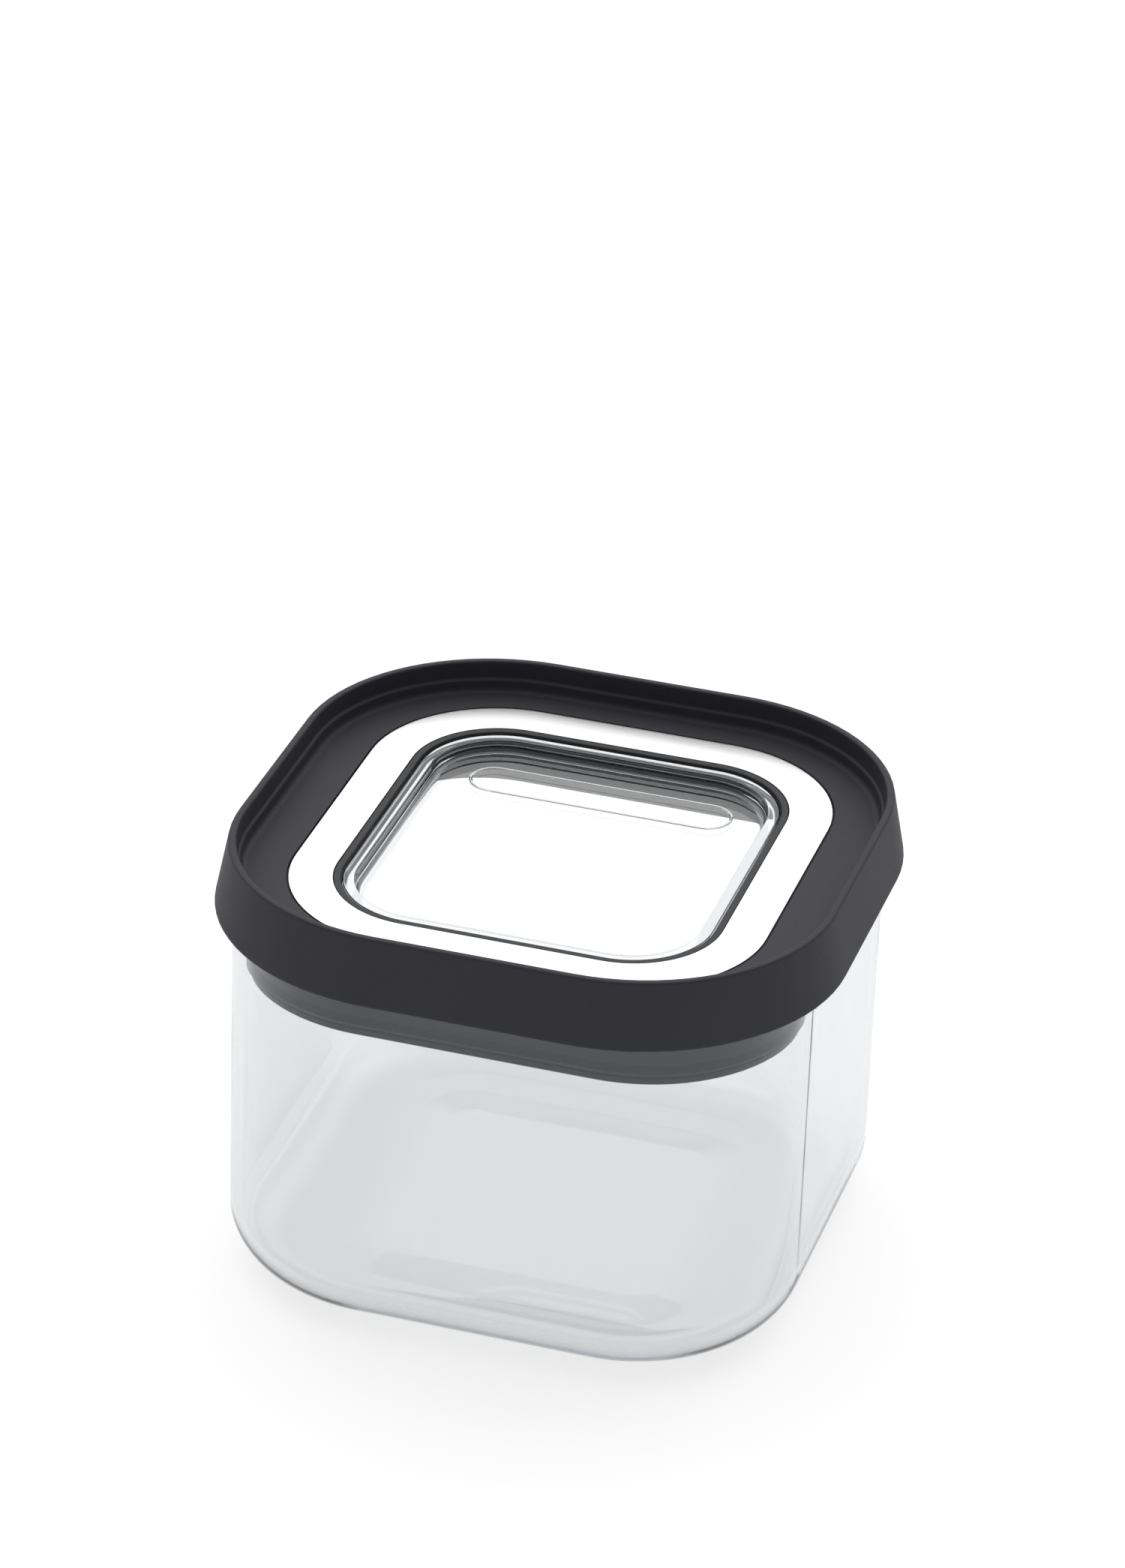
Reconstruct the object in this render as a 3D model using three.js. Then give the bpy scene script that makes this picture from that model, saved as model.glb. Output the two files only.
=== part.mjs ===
// Square glass storage canister with a push-in lid.
// Millimetres, +Z up. The origin is the centre of the base, on the surface the canister stands on.
// X runs across the canister, Y from its front to its back.
// Every piece is a rounded rectangle in plan, so each one is a section carried round such an outline.
import * as THREE from "three";

// ---- Driving dimensions ----
const LID_WIDTH = 115; // across the skirt's lower edge, which is the widest place
const OVERALL_HEIGHT = 83.4; // base to the crest of the lid
const GAP = 0.3; // between pieces that touch or press on each other

// Plan outlines: each family shares its corner centres, so its outlines lie parallel
const LID_CORNER_CENTRE = 18.2; // centre line to the lid's corner centres
const JAR_CORNER_CENTRE = 21.8; // the same for the jar and what fits its mouth
const WINDOW_CORNER_CENTRE = 18.3; // the same for the trim ring and window, in X
const CORNER_STEPS = 10; // facets in a quarter turn

// Lid cover: a flared skirt, a raised crest and a sunken tray
const CREST_INSET = 2.4; // skirt's lower edge to the crest's outer face
const CREST_WALL = 1.4;
const CREST_ROUND = 0.6;
const TRAY_DEPTH = 5.9; // crest to tray floor
const TRAY_FILLET = 1.8;
const TRAY_DRAFT = 0.3; // lean of the tray's wall
const TRAY_THICKNESS = 2.0;
const SKIRT_DROP = 6.45; // tray floor to the skirt's lower edge
const SKIRT_WALL = 1.5;
const SKIRT_CHAMFER = 0.4;

// Jar
const JAR_INSET = 4.2; // skirt's lower edge to the jar's outer face
const GLASS_WALL = 2.2;
const GLASS_FLOOR = 2.4;
const BASE_ROUND_OUT = 12.5; // the base's rounded edge, across
const BASE_ROUND_UP = 11; // the same, upwards
const BASE_STEPS = 6;
const FOOT_WIDTH = 7; // flat ring that the jar stands on
const PUSH_UP = 0.5; // hollow inside that ring
const PUSH_UP_SLOPE = 4;

// Trim ring and window
const RING_MARGIN_X = 14.0; // skirt's lower edge to the ring's outer edge
const RING_MARGIN_Y = 11.3;
const RING_BAND = 7.9;
const RING_THICKNESS = 0.6;
const RING_BEVEL = 0.12;
const WINDOW_SEAL_BAND = 1.1;
const WINDOW_SEAL_SINK = 0.1; // seal's top below the trim ring
const WELL_DEPTH = 2.9; // trim ring to the window's floor
const WINDOW_WALL = 2.1;
const WINDOW_FLOOR = 2.0;
const WINDOW_SINK = 0.5; // window's rim below the trim ring
const WINDOW_FILLET = 1.4; // inside, wall to floor
const WINDOW_UNDER_ROUND = 1.0; // outside, wall to underside
const WINDOW_STEPS = 4;
const FLANGE_THICKNESS = 1.1;
const FLANGE_REACH = 4.6;

// Plug frame and mouth seal
const PLUG_DEPTH = 16.4; // tray floor to the plug's lower edge
const PLUG_TOP_PLAY = 0.65; // plug flange to the glass
const SHELF_THICKNESS = 1.4;
const SHELF_PLAY = 0.4; // shelf edge to the window's wall
const FRAME_WALL = 2.6;
const FRAME_LIP = 1.3; // height of the lip under the seal
const FRAME_LIP_PLAY = 1.15; // that lip to the glass
const SEAL_BODY = 1.6; // seal's wall between its lips
const LIP_PROUD = 0.85; // how far a lip stands out from it
const LIP_HEIGHT = 2.2;
const LIP_FROM_END = 1.0; // lip's edge from the seal's end

// ---- Derived places ----
const lidReach = LID_WIDTH / 2 - LID_CORNER_CENTRE;
const crestReach = lidReach - CREST_INSET;
const trayZ = OVERALL_HEIGHT - TRAY_DEPTH;
const coverUnderZ = trayZ - TRAY_THICKNESS;
const skirtZ = trayZ - SKIRT_DROP;
// the skirt's outer face where it meets the underside of the cover, on its lean from edge to crest
const skirtRise = (coverUnderZ - skirtZ) / (OVERALL_HEIGHT - skirtZ);
const shoulderReach = lidReach - CREST_INSET * skirtRise;

const jarReach = LID_WIDTH / 2 - JAR_INSET - JAR_CORNER_CENTRE;
const mouthReach = jarReach - GLASS_WALL;
const jarTopZ = coverUnderZ - GAP;

const ringOuter = LID_WIDTH / 2 - RING_MARGIN_X - WINDOW_CORNER_CENTRE;
const ringInner = ringOuter - RING_BAND;
const ledgeZ = trayZ - RING_THICKNESS - GAP;
const windowSealOuter = ringInner - GAP;
const windowSealInner = windowSealOuter - WINDOW_SEAL_BAND;
const windowOuter = windowSealInner - GAP;
const windowInner = windowOuter - WINDOW_WALL;
const flangeTopZ = coverUnderZ - GAP;
const flangeZ = flangeTopZ - FLANGE_THICKNESS;
const flangeReach = windowOuter + FLANGE_REACH;

const plugZ = trayZ - PLUG_DEPTH;
const shelfZ = flangeZ - GAP;
const lipReach = mouthReach - GAP;
const sealOuter = lipReach - LIP_PROUD;
const sealInner = sealOuter - SEAL_BODY;
const frameOuter = sealInner - GAP;
const frameInner = frameOuter - FRAME_WALL;

// Corner centres of the three families of outlines
const LID = { x: LID_CORNER_CENTRE, y: LID_CORNER_CENTRE };
const JAR = { x: JAR_CORNER_CENTRE, y: JAR_CORNER_CENTRE };
const WINDOW = { x: WINDOW_CORNER_CENTRE, y: WINDOW_CORNER_CENTRE + RING_MARGIN_X - RING_MARGIN_Y };

// ---- Shape helpers ----

// One turn of points round a rounded rectangle: corner centres `core`, corner radius `reach`, height z
function outline([core, reach, z]) {
  const points = [];
  for (let quarter = 0; quarter < 4; quarter += 1) {
    const signX = quarter === 0 || quarter === 3 ? 1 : -1;
    const signY = quarter < 2 ? 1 : -1;
    for (let step = 0; step <= CORNER_STEPS; step += 1) {
      const angle = ((quarter + step / CORNER_STEPS) * Math.PI) / 2;
      const x = signX * core.x + reach * Math.cos(angle);
      const y = signY * core.y + reach * Math.sin(angle);
      points.push(x, y, z);
    }
  }
  return points;
}

// Closed solid whose section is a list of [core, reach, z], anticlockwise with reach to the right and z up.
// A ring closes on itself; with `disc` the section's two ends are capped at the centre line.
function carry(section, disc = false) {
  const turn = 4 * (CORNER_STEPS + 1);
  const positions = section.flatMap(outline);
  const indices = [];
  const last = disc ? section.length - 1 : section.length;
  for (let i = 0; i < last; i += 1) {
    const here = i * turn;
    const next = ((i + 1) % section.length) * turn;
    for (let j = 0; j < turn; j += 1) {
      const k = (j + 1) % turn;
      indices.push(here + j, here + k, next + k, here + j, next + k, next + j);
    }
  }
  if (disc) {
    const bottom = section.length * turn;
    const top = bottom + 1;
    const topTurn = (section.length - 1) * turn;
    positions.push(0, 0, section[0][2], 0, 0, section[section.length - 1][2]);
    for (let j = 0; j < turn; j += 1) {
      const k = (j + 1) % turn;
      indices.push(bottom, k, j, top, topTurn + j, topTurn + k);
    }
  }
  const geometry = new THREE.BufferGeometry();
  geometry.setAttribute("position", new THREE.Float32BufferAttribute(positions, 3));
  geometry.setIndex(indices);
  geometry.computeVertexNormals();
  return geometry;
}

// Quarter of an ellipse in a section, from straight down to straight outwards or the other way round
function roundedEdge(core, reach, z, across, up, steps, fromBottom) {
  const points = [];
  for (let step = 0; step <= steps; step += 1) {
    const share = fromBottom ? step / steps : 1 - step / steps;
    const angle = (share * Math.PI) / 2;
    points.push([core, reach - across * (1 - Math.sin(angle)), z + up * (1 - Math.cos(angle))]);
  }
  return points;
}

function part(name, geometry, color, roughness, metalness = 0, opacity = 1) {
  const material = new THREE.MeshStandardMaterial({ color, roughness, metalness });
  material.opacity = opacity;
  material.transparent = opacity < 1;
  const mesh = new THREE.Mesh(geometry, material);
  mesh.name = name;
  return mesh;
}

// ---- Pieces ----

function glassJar() {
  const footOuter = jarReach - BASE_ROUND_OUT;
  const footInner = footOuter - FOOT_WIDTH;
  const roundOut = BASE_ROUND_OUT - GLASS_WALL;
  const roundUp = BASE_ROUND_UP - GLASS_FLOOR;
  return carry(
    [
      [JAR, footInner - PUSH_UP_SLOPE, PUSH_UP],
      [JAR, footInner, 0],
      ...roundedEdge(JAR, jarReach, 0, BASE_ROUND_OUT, BASE_ROUND_UP, BASE_STEPS, true),
      [JAR, jarReach, jarTopZ - GLASS_WALL / 3],
      [JAR, jarReach - GLASS_WALL / 3, jarTopZ],
      [JAR, mouthReach + GLASS_WALL / 3, jarTopZ],
      [JAR, mouthReach, jarTopZ - GLASS_WALL / 3],
      ...roundedEdge(JAR, mouthReach, GLASS_FLOOR, roundOut, roundUp, BASE_STEPS, false),
    ],
    true,
  );
}

function lidCover() {
  const crestInner = crestReach - CREST_WALL;
  const wallFoot = crestInner - TRAY_DRAFT;
  const filletSide = TRAY_FILLET * (1 - Math.SQRT1_2);
  return carry([
    [WINDOW, ringInner + GAP, coverUnderZ],
    [LID, shoulderReach - SKIRT_WALL, coverUnderZ],
    [LID, lidReach - SKIRT_WALL, skirtZ],
    [LID, lidReach - SKIRT_CHAMFER, skirtZ],
    [LID, lidReach, skirtZ + SKIRT_CHAMFER],
    [LID, crestReach, OVERALL_HEIGHT - CREST_ROUND],
    [LID, crestReach - CREST_ROUND, OVERALL_HEIGHT],
    [LID, crestInner + CREST_ROUND / 2, OVERALL_HEIGHT],
    [LID, crestInner, OVERALL_HEIGHT - CREST_ROUND],
    [LID, wallFoot, trayZ + TRAY_FILLET],
    [LID, wallFoot - filletSide, trayZ + filletSide],
    [LID, wallFoot - TRAY_FILLET, trayZ],
    [WINDOW, ringOuter + GAP, trayZ],
    [WINDOW, ringOuter + GAP, ledgeZ],
    [WINDOW, ringInner + GAP, ledgeZ],
  ]);
}

function steelTrimRing() {
  const underZ = ledgeZ + GAP;
  return carry([
    [WINDOW, ringInner, underZ],
    [WINDOW, ringOuter, underZ],
    [WINDOW, ringOuter, trayZ - RING_BEVEL],
    [WINDOW, ringOuter - RING_BEVEL, trayZ],
    [WINDOW, ringInner + RING_BEVEL, trayZ],
    [WINDOW, ringInner, trayZ - RING_BEVEL],
  ]);
}

// Soft ring round the clear window, squeezed between its flange and the trim ring's edge
function windowSeal() {
  const topZ = trayZ - WINDOW_SEAL_SINK;
  const round = WINDOW_SEAL_BAND / 4;
  return carry([
    [WINDOW, windowSealInner, flangeTopZ + GAP],
    [WINDOW, windowSealOuter, flangeTopZ + GAP],
    [WINDOW, windowSealOuter, topZ - round],
    [WINDOW, windowSealOuter - round, topZ],
    [WINDOW, windowSealInner + round, topZ],
    [WINDOW, windowSealInner, topZ - round],
  ]);
}

// Clear shallow pan: its flange lies under the cover, and its rim rises to the trim ring
function lidWindow() {
  const floorZ = trayZ - WELL_DEPTH;
  const rimZ = trayZ - WINDOW_SINK;
  const rimRound = WINDOW_WALL / 4;
  const under = WINDOW_UNDER_ROUND;
  return carry(
    [
      ...roundedEdge(WINDOW, windowOuter, floorZ - WINDOW_FLOOR, under, under, WINDOW_STEPS, true),
      [WINDOW, windowOuter, flangeZ],
      [WINDOW, flangeReach, flangeZ],
      [WINDOW, flangeReach, flangeTopZ],
      [WINDOW, windowOuter, flangeTopZ],
      [WINDOW, windowOuter, rimZ - rimRound],
      [WINDOW, windowOuter - rimRound, rimZ],
      [WINDOW, windowInner + rimRound, rimZ],
      [WINDOW, windowInner, rimZ - rimRound],
      ...roundedEdge(WINDOW, windowInner, floorZ, WINDOW_FILLET, WINDOW_FILLET, WINDOW_STEPS, false),
    ],
    true,
  );
}

// Dark collar that enters the jar: it clamps the window's flange from below and carries the mouth seal
function plugFrame() {
  const flangeBay = flangeReach + GAP;
  const shelfEdge = windowOuter + SHELF_PLAY;
  const shelfUnderZ = shelfZ - SHELF_THICKNESS;
  const plugTop = mouthReach - PLUG_TOP_PLAY;
  const lip = mouthReach - FRAME_LIP_PLAY;
  return carry([
    [JAR, frameInner, plugZ],
    [JAR, lip, plugZ],
    [JAR, lip, plugZ + FRAME_LIP],
    [JAR, frameOuter, plugZ + FRAME_LIP],
    [JAR, frameOuter, shelfZ - GAP],
    [JAR, plugTop, shelfZ - GAP],
    [JAR, plugTop, flangeTopZ],
    [WINDOW, flangeBay, flangeTopZ],
    [WINDOW, flangeBay, shelfZ],
    [WINDOW, shelfEdge, shelfZ],
    [WINDOW, shelfEdge, shelfUnderZ],
    [JAR, frameInner, shelfUnderZ],
  ]);
}

// Silicone band round the plug, with a sealing lip near each end
function mouthSeal() {
  const bottomZ = plugZ + FRAME_LIP + GAP;
  const topZ = shelfZ - 2 * GAP;
  return carry([
    [JAR, sealInner, bottomZ],
    [JAR, sealOuter, bottomZ],
    [JAR, lipReach, bottomZ + LIP_FROM_END],
    [JAR, sealOuter, bottomZ + LIP_HEIGHT],
    [JAR, sealOuter, topZ - LIP_HEIGHT],
    [JAR, lipReach, topZ - LIP_FROM_END],
    [JAR, sealOuter, topZ],
    [JAR, sealInner, topZ],
  ]);
}

// ---- Assembly ----
const jar = new THREE.Group();
jar.add(part("glass_jar", glassJar(), 0xdfe5e7, 0.03, 0, 0.3));

const lid = new THREE.Group();
lid.add(
  part("lid_cover", lidCover(), 0x35363c, 0.55),
  part("steel_trim_ring", steelTrimRing(), 0xe3e4e4, 0.25, 1),
  part("window_seal", windowSeal(), 0x2c2e31, 0.7),
  part("lid_window", lidWindow(), 0xeef2f3, 0.04, 0, 0.3),
  part("plug_frame", plugFrame(), 0x33363a, 0.55),
  part("mouth_seal", mouthSeal(), 0x3f4347, 0.65),
);

const group = new THREE.Group();
group.add(jar, lid);

export default group;
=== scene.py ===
"""Looks of the square glass storage canister: visible pieces, materials, floor, light and camera.

Metres, +Z up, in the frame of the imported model. Every piece is a section carried round a rounded
rectangle, so a piece is given as its section: places read from the frame, and small shapes named here.
"""

import math

import bpy
from mathutils import Matrix, Vector

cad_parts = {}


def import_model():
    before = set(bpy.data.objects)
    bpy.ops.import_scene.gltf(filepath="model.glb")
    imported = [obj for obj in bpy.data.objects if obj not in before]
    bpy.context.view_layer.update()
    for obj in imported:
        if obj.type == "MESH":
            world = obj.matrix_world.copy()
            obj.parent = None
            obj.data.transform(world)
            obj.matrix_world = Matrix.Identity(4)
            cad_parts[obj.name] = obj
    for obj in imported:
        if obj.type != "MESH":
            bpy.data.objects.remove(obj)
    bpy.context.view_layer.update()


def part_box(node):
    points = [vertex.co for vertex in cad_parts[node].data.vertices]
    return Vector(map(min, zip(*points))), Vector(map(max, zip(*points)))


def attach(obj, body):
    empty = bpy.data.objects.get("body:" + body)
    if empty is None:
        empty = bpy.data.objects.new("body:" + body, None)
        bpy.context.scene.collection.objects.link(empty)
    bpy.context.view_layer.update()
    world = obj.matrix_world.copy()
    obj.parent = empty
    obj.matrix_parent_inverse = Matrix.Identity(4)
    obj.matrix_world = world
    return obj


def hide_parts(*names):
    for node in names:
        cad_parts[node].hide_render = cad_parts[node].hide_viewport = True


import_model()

MM = 0.001

# ---- Outlines: families of parallel rounded rectangles, by their corner centres ----
CORNER_STEPS = 20
BRACE = 0.3 * MM  # how far inside the end of a straight its extra row stands
LID = (18.2 * MM, 18.2 * MM)
JAR = (21.8 * MM, 21.8 * MM)
WINDOW = (18.3 * MM, 21.0 * MM)

# ---- Places taken from the frame ----
JAR_LOW, JAR_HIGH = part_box("glass_jar")
COVER_LOW, COVER_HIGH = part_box("lid_cover")
RING_LOW, RING_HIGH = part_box("steel_trim_ring")
WINDOW_SEAL_LOW, WINDOW_SEAL_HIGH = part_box("window_seal")
PAN_LOW, PAN_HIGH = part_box("lid_window")
FRAME_LOW, FRAME_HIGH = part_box("plug_frame")
SEAL_LOW, SEAL_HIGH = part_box("mouth_seal")

TRAY_Z = RING_HIGH.z
GAP = 0.3 * MM  # between touching pieces, as in the frame
FINE_GAP = 0.12 * MM  # between touching pieces whose gap would show

# ---- Sizes that more than one piece follows ----
GLASS_WALL = 2.2 * MM
RING_BAND = 7.9 * MM
WINDOW_SEAL_WALL = 1.1 * MM
SEAL_LIP = 0.85 * MM
SEAL_BODY = 1.6 * MM
SHELF_DEPTH = 3.7 * MM  # top of the plug's shelf, below the tray
FLANGE_DEPTH = 2.3 * MM  # top of the window's flange, below the tray
PAN_DEPTH = 2.9 * MM

# ---- Colour that clear glass and plastic take on along a long path ----
DEPTH_TINT = (0.47, 0.50, 0.54)

# ---- Light ----
LIGHT_BOUNCES = 24
SURROUND_LIGHT = 0.34
PANEL_LIGHT = 1.75
PANEL_AIM = Vector((-0.22, 0.70, 1.05))
PANEL_HALF_ANGLE = math.radians(30)
PANEL_FADE_ANGLE = math.radians(62)
TABLE_GLOW = 0.73
TABLE_GREY = 0.38


# ---- Section helpers ----
# A section is a list of (family, reach, z, round): reach is the corner radius of the outline there.


def half_width(family, reach):
    """Half width across X of one outline."""
    return family[0] + reach


def heading(here, there):
    """Unit direction in the section from one corner to the next, by half width and height."""
    across = half_width(*there[:2]) - half_width(*here[:2])
    rise = there[2] - here[2]
    length = math.hypot(across, rise)
    return across / length, rise / length, length


def rounded(section, closed=True, steps=6):
    """The section with its corners rounded: each corner's fourth value is its radius."""
    out = []
    count = len(section)
    for i, (family, reach, z, radius) in enumerate(section):
        at_end = not closed and i in (0, count - 1)
        if at_end or radius <= 0:
            out.append((family, reach, z))
            continue
        here = section[i]
        ux, uz, back = heading(here, section[i - 1])
        vx, vz, ahead = heading(here, section[(i + 1) % count])
        opening = math.acos(max(-1.0, min(1.0, ux * vx + uz * vz)))
        setback = min(radius / math.tan(opening / 2), 0.49 * back, 0.49 * ahead)
        for k in range(steps + 1):
            before, after = (1 - k / steps) ** 2 * setback, (k / steps) ** 2 * setback
            out.append((family, reach + before * ux + after * vx, z + before * uz + after * vz))
    return out


def ellipse(family, reach, z, across, up, steps, from_bottom):
    """Quarter ellipse from a flat floor at z to an upright wall at reach, or the other way round."""
    points = []
    for k in range(steps + 1):
        share = k / steps if from_bottom else 1 - k / steps
        angle = share * math.pi / 2
        points.append((family, reach - across * (1 - math.sin(angle)), z + up * (1 - math.cos(angle))))
    return points


def between(here, there, share):
    """The row that far along from one row of a section to the next."""
    family = tuple(a + share * (b - a) for a, b in zip(here[0], there[0]))
    return family, here[1] + share * (there[1] - here[1]), here[2] + share * (there[2] - here[2])


def inset(row):
    """The same outline drawn in by one brace."""
    family, reach, z = row
    return family, reach - BRACE, z


def braced(section, disc):
    """The section with a row just inside each end of its straights, so smooth shading leaves them flat."""
    rows = [row[:3] for row in section]
    if disc:
        rows = [inset(rows[0]), *rows, inset(rows[-1])]
    out = []
    for i, here in enumerate(rows):
        out.append(here)
        there = rows[(i + 1) % len(rows)]
        length = heading(here, there)[2]
        if length > 4 * BRACE and not (disc and i == len(rows) - 1):
            out.append(between(here, there, BRACE / length))
            out.append(between(here, there, 1 - BRACE / length))
    return out


def outline(family, reach, z):
    """Points of one rounded rectangle, counter-clockwise seen from above."""
    points = []
    for quarter in range(4):
        sign_x = 1 if quarter in (0, 3) else -1
        sign_y = 1 if quarter < 2 else -1
        for step in range(CORNER_STEPS + 1):
            angle = (quarter + step / CORNER_STEPS) * math.pi / 2
            x = sign_x * family[0] + reach * math.cos(angle)
            y = sign_y * family[1] + reach * math.sin(angle)
            points.append((x, y, z))
    return points


def carry(name, section, disc=False, sharp=None):
    """Closed mesh whose section is carried round its outlines; with disc, each end is closed by a flat."""
    rows = braced(section, disc)
    points = [p for row in rows for p in outline(*row)]
    turn = len(points) // len(rows)
    faces = []
    for i in range(len(rows) - 1 if disc else len(rows)):
        here, there = i * turn, (i + 1) % len(rows) * turn
        for j in range(turn):
            k = (j + 1) % turn
            faces.append((here + j, here + k, there + k, there + j))
    if disc:
        faces.append(tuple(range(turn - 1, -1, -1)))
        faces.append(tuple(range(len(points) - turn, len(points))))
    mesh = bpy.data.meshes.new(name)
    mesh.from_pydata(points, [], faces)
    mesh.validate()
    mesh.shade_smooth()
    if sharp is not None:
        mesh.set_sharp_from_angle(angle=math.radians(sharp))
    piece = bpy.data.objects.new(name, mesh)
    bpy.context.scene.collection.objects.link(piece)
    return piece


# ---- Material helpers ----


def new_material(name):
    """A material, with its nodes, its links and its main shader."""
    material = bpy.data.materials.new(name)
    material.use_nodes = True
    nodes = material.node_tree.nodes
    return material, nodes, material.node_tree.links, nodes["Principled BSDF"]


def object_noise(nodes, links, scale, detail=2.0, stretch=(1, 1, 1)):
    """Noise over the object's own coordinates, in metres, so its grain has a real size."""
    place = nodes.new("ShaderNodeTexCoord")
    mapping = nodes.new("ShaderNodeMapping")
    mapping.inputs["Scale"].default_value = stretch
    noise = nodes.new("ShaderNodeTexNoise")
    noise.inputs["Scale"].default_value = scale
    noise.inputs["Detail"].default_value = detail
    links.new(place.outputs["Object"], mapping.inputs["Vector"])
    links.new(mapping.outputs["Vector"], noise.inputs["Vector"])
    return noise


def ranged(nodes, links, source, low, high):
    """source, from 0 to 1, spread over low to high."""
    spread = nodes.new("ShaderNodeMapRange")
    spread.inputs["To Min"].default_value = low
    spread.inputs["To Max"].default_value = high
    links.new(source, spread.inputs["Value"])
    return spread.outputs["Result"]


def maths(nodes, links, operation, first, second=0.0, third=0.0):
    """A math node; each of its values is a number or a socket."""
    node = nodes.new("ShaderNodeMath")
    node.operation = operation
    for socket, value in zip(node.inputs, (first, second, third)):
        if isinstance(value, float):
            socket.default_value = value
        else:
            links.new(value, socket)
    return node.outputs["Value"]


def oblong_line(nodes, links, centre_y, half_straight, radius, half_line, above):
    """1 on a fine oblong line with round ends, lengthwise along X, and 0 elsewhere or below a height."""
    place = nodes.new("ShaderNodeTexCoord")
    split = nodes.new("ShaderNodeSeparateXYZ")
    links.new(place.outputs["Object"], split.inputs["Vector"])
    along = maths(nodes, links, "ABSOLUTE", split.outputs["X"])
    along = maths(nodes, links, "SUBTRACT", along, half_straight)
    along = maths(nodes, links, "MAXIMUM", along, 0.0)
    across = maths(nodes, links, "SUBTRACT", split.outputs["Y"], centre_y)
    across = maths(nodes, links, "MULTIPLY", across, across)
    length = maths(nodes, links, "SQRT", maths(nodes, links, "MULTIPLY_ADD", along, along, across))
    off_line = maths(nodes, links, "ABSOLUTE", maths(nodes, links, "SUBTRACT", length, radius))
    on_line = nodes.new("ShaderNodeMapRange")
    on_line.interpolation_type = "SMOOTHSTEP"
    on_line.inputs["From Max"].default_value = half_line
    on_line.inputs["To Min"].default_value = 1
    on_line.inputs["To Max"].default_value = 0
    links.new(off_line, on_line.inputs["Value"])
    upper = maths(nodes, links, "GREATER_THAN", split.outputs["Z"], above)
    return maths(nodes, links, "MULTIPLY", on_line.outputs["Result"], upper)


def add_bump(nodes, links, shader, height, strength, distance):
    """Relief on the shader: where height is 1 it stands that distance proud."""
    bump = nodes.new("ShaderNodeBump")
    bump.inputs["Strength"].default_value = strength
    bump.inputs["Distance"].default_value = distance
    links.new(height, bump.inputs["Height"])
    links.new(bump.outputs["Normal"], shader.inputs["Normal"])


def blend_colours(nodes, links, factor, first, second):
    """The first colour where factor is 0, the second where it is 1."""
    mix = nodes.new("ShaderNodeMix")
    mix.data_type = "RGBA"
    mix.inputs["A"].default_value = (*first, 1)
    mix.inputs["B"].default_value = (*second, 1)
    links.new(factor, mix.inputs["Factor"])
    return mix.outputs["Result"]


def moulded_material(name, dark, light, roughness, grain, specular=0.3):
    """Moulded plastic or rubber with a fine eroded texture and slight cloudiness of colour."""
    material, nodes, links, shader = new_material(name)
    cloud = object_noise(nodes, links, 60, 3)
    links.new(blend_colours(nodes, links, cloud.outputs["Fac"], dark, light), shader.inputs["Base Color"])
    fine = object_noise(nodes, links, 1 / grain, 2)
    rough = ranged(nodes, links, fine.outputs["Fac"], roughness - 0.06, roughness + 0.06)
    links.new(rough, shader.inputs["Roughness"])
    shader.inputs["Specular IOR Level"].default_value = specular
    add_bump(nodes, links, shader, fine.outputs["Fac"], 0.35, 0.06 * MM)
    return material


def charcoal_plastic():
    """Matt charcoal of the cover."""
    dark, light = (0.011, 0.0115, 0.020), (0.015, 0.0155, 0.026)
    return moulded_material("charcoal_plastic", dark, light, 0.68, 0.35 * MM, specular=0.52)


def window_seal_rubber():
    """Dark soft rubber round the window."""
    dark, light = (0.030, 0.031, 0.034), (0.040, 0.041, 0.044)
    return moulded_material("window_seal_rubber", dark, light, 0.6, 0.25 * MM)


def plug_plastic():
    """Slate plastic of the collar in the mouth."""
    dark, light = (0.020, 0.023, 0.031), (0.025, 0.029, 0.038)
    return moulded_material("plug_plastic", dark, light, 0.5, 0.4 * MM)


def seal_silicone():
    """Slate silicone of the lips on the glass."""
    dark, light = (0.022, 0.028, 0.040), (0.028, 0.035, 0.048)
    return moulded_material("seal_silicone", dark, light, 0.5, 0.5 * MM)


def trim_steel():
    """Fine brushed stainless steel, its strokes along X."""
    material, nodes, links, shader = new_material("trim_steel")
    strokes = object_noise(nodes, links, 3000, 3, (0.02, 1, 1))
    shader.inputs["Metallic"].default_value = 1
    tint = blend_colours(nodes, links, strokes.outputs["Fac"], (0.80, 0.80, 0.79), (0.88, 0.88, 0.875))
    links.new(tint, shader.inputs["Base Color"])
    links.new(ranged(nodes, links, strokes.outputs["Fac"], 0.24, 0.36), shader.inputs["Roughness"])
    add_bump(nodes, links, shader, strokes.outputs["Fac"], 0.08, 0.01 * MM)
    return material


def clear_material(name, ior, colour, absorb, density):
    """Clear glass or plastic, with a tint that deepens with thickness."""
    material, nodes, links, shader = new_material(name)
    shader.inputs["Base Color"].default_value = (*colour, 1)
    shader.inputs["Roughness"].default_value = 0
    shader.inputs["IOR"].default_value = ior
    shader.inputs["Transmission Weight"].default_value = 1
    depth = nodes.new("ShaderNodeVolumeAbsorption")
    depth.inputs["Color"].default_value = (*absorb, 1)
    depth.inputs["Density"].default_value = density
    links.new(depth.outputs["Volume"], nodes["Material Output"].inputs["Volume"])
    return material, nodes, links, shader


def clear_glass():
    """Borosilicate glass with the faint slow waves of a moulded wall."""
    colour = (0.985, 0.99, 0.99)
    material, nodes, links, shader = clear_material("clear_glass", 1.474, colour, DEPTH_TINT, 94)
    waves = object_noise(nodes, links, 45, 1)
    add_bump(nodes, links, shader, waves.outputs["Fac"], 1.0, 0.03 * MM)
    return material


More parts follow.
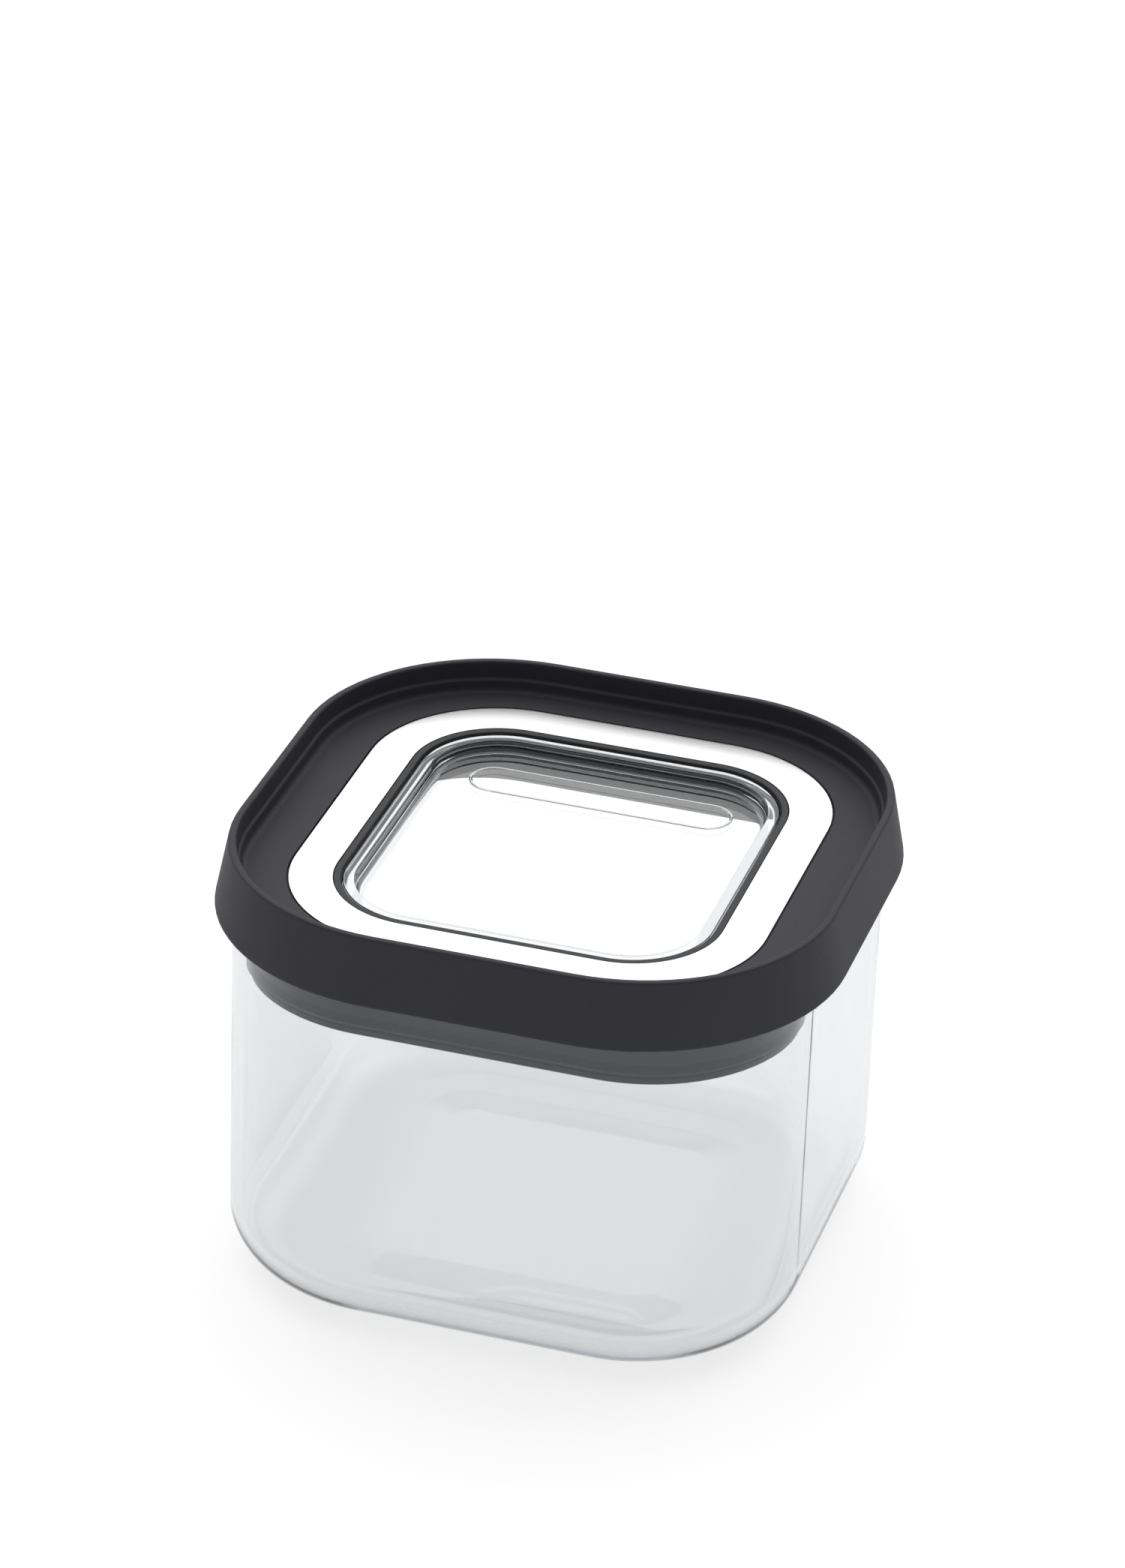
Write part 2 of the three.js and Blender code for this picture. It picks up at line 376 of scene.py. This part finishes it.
def clear_plastic():
    """Clear plastic with a fine oblong line moulded in its floor, near the back."""
    colour = (0.985, 0.99, 0.992)
    material, nodes, links, shader = clear_material("clear_plastic", 1.55, colour, DEPTH_TINT, 40)
    upper_side = TRAY_Z - PAN_DEPTH - 0.6 * MM
    line = oblong_line(nodes, links, 23 * MM, 20.2 * MM, 4.5 * MM, 0.35 * MM, upper_side)
    waves = object_noise(nodes, links, 60, 1)
    height = maths(nodes, links, "MULTIPLY_ADD", waves.outputs["Fac"], 0.1, line)
    add_bump(nodes, links, shader, height, 1.0, 0.12 * MM)
    return material


# ---- Pieces ----

lid_reach = COVER_HIGH.x - LID[0]
jar_reach = JAR_HIGH.x - JAR[0]
mouth_reach = jar_reach - GLASS_WALL
ring_outer = RING_HIGH.x - WINDOW[0]
ring_inner = ring_outer - RING_BAND
bezel_inner = WINDOW_SEAL_HIGH.x - WINDOW[0] - WINDOW_SEAL_WALL


def settle(piece, material, body, node):
    """Give the piece its material, tie it to its body, and hide the frame's node that it stands in for."""
    piece.data.materials.append(material)
    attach(piece, body)
    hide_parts(node)


def glass_jar():
    """Moulded jar: a hollowed base on a flat foot, a broad rounded edge, and a fire-polished rim."""
    base_out, base_up = 12.5 * MM, 11 * MM
    foot_outer = jar_reach - base_out
    foot_inner = foot_outer - 7 * MM
    hollow_edge = foot_inner - 8 * MM
    hollow, hollow_round = 0.5 * MM, 30 * MM
    floor_z = 2.4 * MM
    rim, rim_steps = GLASS_WALL / 2, 12
    rim_z = JAR_HIGH.z - rim
    section = rounded(
        [
            (JAR, hollow_edge - 3.5 * MM, hollow, 0),
            (JAR, hollow_edge, hollow, hollow_round),
            (JAR, foot_inner, 0, hollow_round),
            (JAR, foot_outer, 0, 0),
        ],
        closed=False,
    )
    section += ellipse(JAR, jar_reach, 0, base_out, base_up, 20, True)[1:]
    for k in range(rim_steps + 1):
        angle = math.pi * k / rim_steps
        section.append((JAR, jar_reach - rim + rim * math.cos(angle), rim_z + rim * math.sin(angle)))
    section += ellipse(JAR, mouth_reach, floor_z, base_out - GLASS_WALL, base_up - floor_z, 20, False)
    piece = carry("glass_jar_clear", section, disc=True, sharp=60)
    settle(piece, clear_glass(), "jar", "glass_jar")


def lid_cover():
    """Charcoal cover: flared skirt, upstanding crest and sunken tray with a stepped foot to its wall."""
    flare, crest_wall, skirt_wall = 2.4 * MM, 1.4 * MM, 1.5 * MM
    crest_reach = lid_reach - flare
    crest_inner = crest_reach - crest_wall
    foot_z = TRAY_Z + 2.2 * MM
    skirt_z, crest_z = COVER_LOW.z, COVER_HIGH.z
    under_z = TRAY_Z - 2.0 * MM
    shoulder = lid_reach - flare * (under_z - skirt_z) / (crest_z - skirt_z) - skirt_wall
    recess = ring_outer + 0.35 * MM
    ledge_z = RING_LOW.z - FINE_GAP
    section = rounded(
        [
            (WINDOW, ring_inner + GAP, under_z, 0.1 * MM),
            (LID, shoulder, under_z, 0.5 * MM),
            (LID, lid_reach - skirt_wall, skirt_z, 0.25 * MM),
            (LID, lid_reach, skirt_z, 0.35 * MM),
            (LID, crest_reach, crest_z, 0.55 * MM),
            (LID, crest_inner, crest_z, 0.5 * MM),
            (LID, crest_inner - 0.25 * MM, foot_z + 0.4 * MM, 0.4 * MM),
            (LID, crest_inner - 0.75 * MM, foot_z, 0.4 * MM),
            (LID, crest_inner - 1.0 * MM, TRAY_Z, 1.5 * MM),
            (WINDOW, recess, TRAY_Z, 0.12 * MM),
            (WINDOW, recess, ledge_z, 0.05 * MM),
            (WINDOW, ring_inner + GAP, ledge_z, 0.05 * MM),
        ]
    )
    piece = carry("lid_cover_shell", section, sharp=40)
    settle(piece, charcoal_plastic(), "lid", "lid_cover")


def steel_trim_ring():
    """Stamped steel ring, let flush into the tray, with its edges just broken."""
    section = rounded(
        [
            (WINDOW, ring_inner, RING_LOW.z, 0.04 * MM),
            (WINDOW, ring_outer, RING_LOW.z, 0.04 * MM),
            (WINDOW, ring_outer, RING_HIGH.z, 0.15 * MM),
            (WINDOW, ring_inner, RING_HIGH.z, 0.15 * MM),
        ]
    )
    piece = carry("trim_ring_brushed", section, sharp=50)
    settle(piece, trim_steel(), "lid", "steel_trim_ring")


def window_seal():
    """Soft ring between the steel and the clear window, its top edge rolled."""
    outer = ring_inner - FINE_GAP
    low, high = WINDOW_SEAL_LOW.z, WINDOW_SEAL_HIGH.z
    section = rounded(
        [
            (WINDOW, bezel_inner, low, 0.1 * MM),
            (WINDOW, outer, low, 0.1 * MM),
            (WINDOW, outer, high, 0.2 * MM),
            (WINDOW, bezel_inner, high, 0.3 * MM),
        ]
    )
    piece = carry("window_seal_ring", section, sharp=50)
    settle(piece, window_seal_rubber(), "lid", "window_seal")


def lid_window():
    """Clear shallow pan: flange under the cover, broad rolled rim, filleted wall and flat floor."""
    outer = bezel_inner - GAP - FINE_GAP
    inner = outer - 2.1 * MM
    flange = PAN_HIGH.x - WINDOW[0]
    flange_top = TRAY_Z - FLANGE_DEPTH
    flange_low = flange_top - 1.1 * MM
    floor_z = TRAY_Z - PAN_DEPTH
    under_round, fillet = 1.0 * MM, 1.4 * MM
    section = ellipse(WINDOW, outer, PAN_LOW.z, under_round, under_round, 8, True)
    section += rounded(
        [
            (WINDOW, outer, PAN_LOW.z + under_round, 0),
            (WINDOW, outer, flange_low, 0.15 * MM),
            (WINDOW, flange, flange_low, 0.2 * MM),
            (WINDOW, flange, flange_top, 0.2 * MM),
            (WINDOW, outer, flange_top, 0.2 * MM),
            (WINDOW, outer, PAN_HIGH.z, 0.3 * MM),
            (WINDOW, inner, PAN_HIGH.z, 0.4 * MM),
            (WINDOW, inner, floor_z + fillet, 0),
        ],
        closed=False,
    )[1:-1]
    section += ellipse(WINDOW, inner, floor_z, fillet, fillet, 10, False)
    piece = carry("window_pan_clear", section, disc=True, sharp=50)
    settle(piece, clear_plastic(), "lid", "lid_window")


def plug_frame():
    """Dark collar in the mouth, with the shelf that holds the window's flange."""
    seal_inner = SEAL_HIGH.x - JAR[0] - SEAL_LIP - SEAL_BODY
    frame_outer = seal_inner - FINE_GAP
    frame_inner = seal_inner - GAP - 2.6 * MM
    plug_top = FRAME_HIGH.x - JAR[0]
    lip = mouth_reach - SEAL_LIP - GAP
    lip_z = FRAME_LOW.z + 1.3 * MM
    flange_bay = PAN_HIGH.x - WINDOW[0] + GAP
    shelf_edge = bezel_inner - GAP + 0.4 * MM
    top_z = FRAME_HIGH.z
    shelf_z = TRAY_Z - SHELF_DEPTH
    shelf_under = shelf_z - 1.4 * MM
    section = rounded(
        [
            (JAR, frame_inner, FRAME_LOW.z, 0.3 * MM),
            (JAR, lip, FRAME_LOW.z, 0.4 * MM),
            (JAR, lip, lip_z, 0.3 * MM),
            (JAR, frame_outer, lip_z, 0.1 * MM),
            (JAR, frame_outer, shelf_z - GAP, 0.1 * MM),
            (JAR, plug_top, shelf_z - GAP, 0.2 * MM),
            (JAR, plug_top, top_z, 0.3 * MM),
            (WINDOW, flange_bay, top_z, 0.1 * MM),
            (WINDOW, flange_bay, shelf_z, 0.1 * MM),
            (WINDOW, shelf_edge, shelf_z, 0.1 * MM),
            (WINDOW, shelf_edge, shelf_under, 0.2 * MM),
            (JAR, frame_inner, shelf_under, 0.6 * MM),
        ]
    )
    piece = carry("plug_frame_collar", section, sharp=40)
    settle(piece, plug_plastic(), "lid", "plug_frame")


def mouth_seal():
    """Silicone band with two soft lips that lean on the glass."""
    lip = SEAL_HIGH.x - JAR[0]
    outer = lip - SEAL_LIP
    inner = outer - SEAL_BODY
    low, high = SEAL_LOW.z, SEAL_HIGH.z
    lip_up, lip_end = 1.0 * MM, 2.2 * MM
    section = rounded(
        [
            (JAR, inner, low, 0.1 * MM),
            (JAR, outer, low, 0.2 * MM),
            (JAR, lip, low + lip_up, 0.25 * MM),
            (JAR, outer, low + lip_end, 0.4 * MM),
            (JAR, outer, high - lip_end, 0.4 * MM),
            (JAR, lip, high - lip_up, 0.25 * MM),
            (JAR, outer, high, 0.2 * MM),
            (JAR, inner, high, 0.1 * MM),
        ]
    )
    piece = carry("mouth_seal_silicone", section, sharp=50)
    settle(piece, seal_silicone(), "lid", "mouth_seal")


# ---- Stage ----


def floor():
    """Plain pale light table: opal, and glowing evenly."""
    half, drop = 3.0, 0.05 * MM
    corners = [(-half, -half, -drop), (half, -half, -drop), (half, half, -drop), (-half, half, -drop)]
    mesh = bpy.data.meshes.new("floor")
    mesh.from_pydata(corners, [], [(0, 1, 2, 3)])
    plane = bpy.data.objects.new("floor", mesh)
    bpy.context.scene.collection.objects.link(plane)
    material, _, _, shader = new_material("pale_floor")
    shader.inputs["Base Color"].default_value = (TABLE_GREY, TABLE_GREY, TABLE_GREY, 1)
    shader.inputs["Roughness"].default_value = 0.9
    shader.inputs["Specular IOR Level"].default_value = 0.1
    shader.inputs["Emission Color"].default_value = (1, 1, 1, 1)
    shader.inputs["Emission Strength"].default_value = TABLE_GLOW
    mesh.materials.append(material)


def world():
    """Even studio surround with one large soft panel high behind the canister, a little to its left."""
    sky = bpy.data.worlds.new("studio")
    sky.use_nodes = True
    nodes, links = sky.node_tree.nodes, sky.node_tree.links
    direction = nodes.new("ShaderNodeTexCoord")
    aim = nodes.new("ShaderNodeVectorMath")
    aim.operation = "DOT_PRODUCT"
    aim.inputs[1].default_value = PANEL_AIM.normalized()
    links.new(direction.outputs["Generated"], aim.inputs[0])
    panel = nodes.new("ShaderNodeMapRange")
    panel.interpolation_type = "SMOOTHERSTEP"
    panel.inputs["From Min"].default_value = math.cos(PANEL_FADE_ANGLE)
    panel.inputs["From Max"].default_value = math.cos(PANEL_HALF_ANGLE)
    panel.inputs["To Min"].default_value = SURROUND_LIGHT
    panel.inputs["To Max"].default_value = PANEL_LIGHT
    links.new(aim.outputs["Value"], panel.inputs["Value"])
    links.new(panel.outputs["Result"], nodes["Background"].inputs["Strength"])
    nodes["Background"].inputs["Color"].default_value = (1, 1, 1, 1)
    bpy.context.scene.world = sky


def camera():
    """Long lens, looking down from the front right."""
    azimuth, elevation, distance = math.radians(16.07), math.radians(29.02), 1.072
    turn, tilt, roll = math.radians(16.11), math.radians(28.47), math.radians(-2.15)
    centre = Vector((0, 0, TRAY_Z))
    away = Vector(
        (
            math.sin(azimuth) * math.cos(elevation),
            -math.cos(azimuth) * math.cos(elevation),
            math.sin(elevation),
        )
    )
    forward = Vector((-math.sin(turn) * math.cos(tilt), math.cos(turn) * math.cos(tilt), -math.sin(tilt)))
    right = Vector((math.cos(turn), math.sin(turn), 0))
    down = forward.cross(right)
    rolled_right = math.cos(roll) * right + math.sin(roll) * down
    rolled_up = -(math.cos(roll) * down - math.sin(roll) * right)
    data = bpy.data.cameras.new("camera")
    data.lens = 137.2
    data.sensor_width = 36
    data.sensor_fit = "AUTO"
    data.clip_start = 0.05
    eye = bpy.data.objects.new("camera", data)
    pose = Matrix((rolled_right, rolled_up, -forward)).transposed().to_4x4()
    pose.translation = centre + distance * away
    eye.matrix_world = pose
    bpy.context.scene.collection.objects.link(eye)
    bpy.context.scene.camera = eye


def light_paths():
    """Enough bounces for light that runs along inside the glass walls to come out again."""
    paths = bpy.context.scene.cycles
    paths.max_bounces = LIGHT_BOUNCES
    paths.glossy_bounces = LIGHT_BOUNCES
    paths.transmission_bounces = LIGHT_BOUNCES


def main():
    bpy.context.scene.view_settings.view_transform = "Standard"
    light_paths()
    camera()
    floor()
    world()
    glass_jar()
    lid_cover()
    steel_trim_ring()
    window_seal()
    lid_window()
    plug_frame()
    mouth_seal()


main()
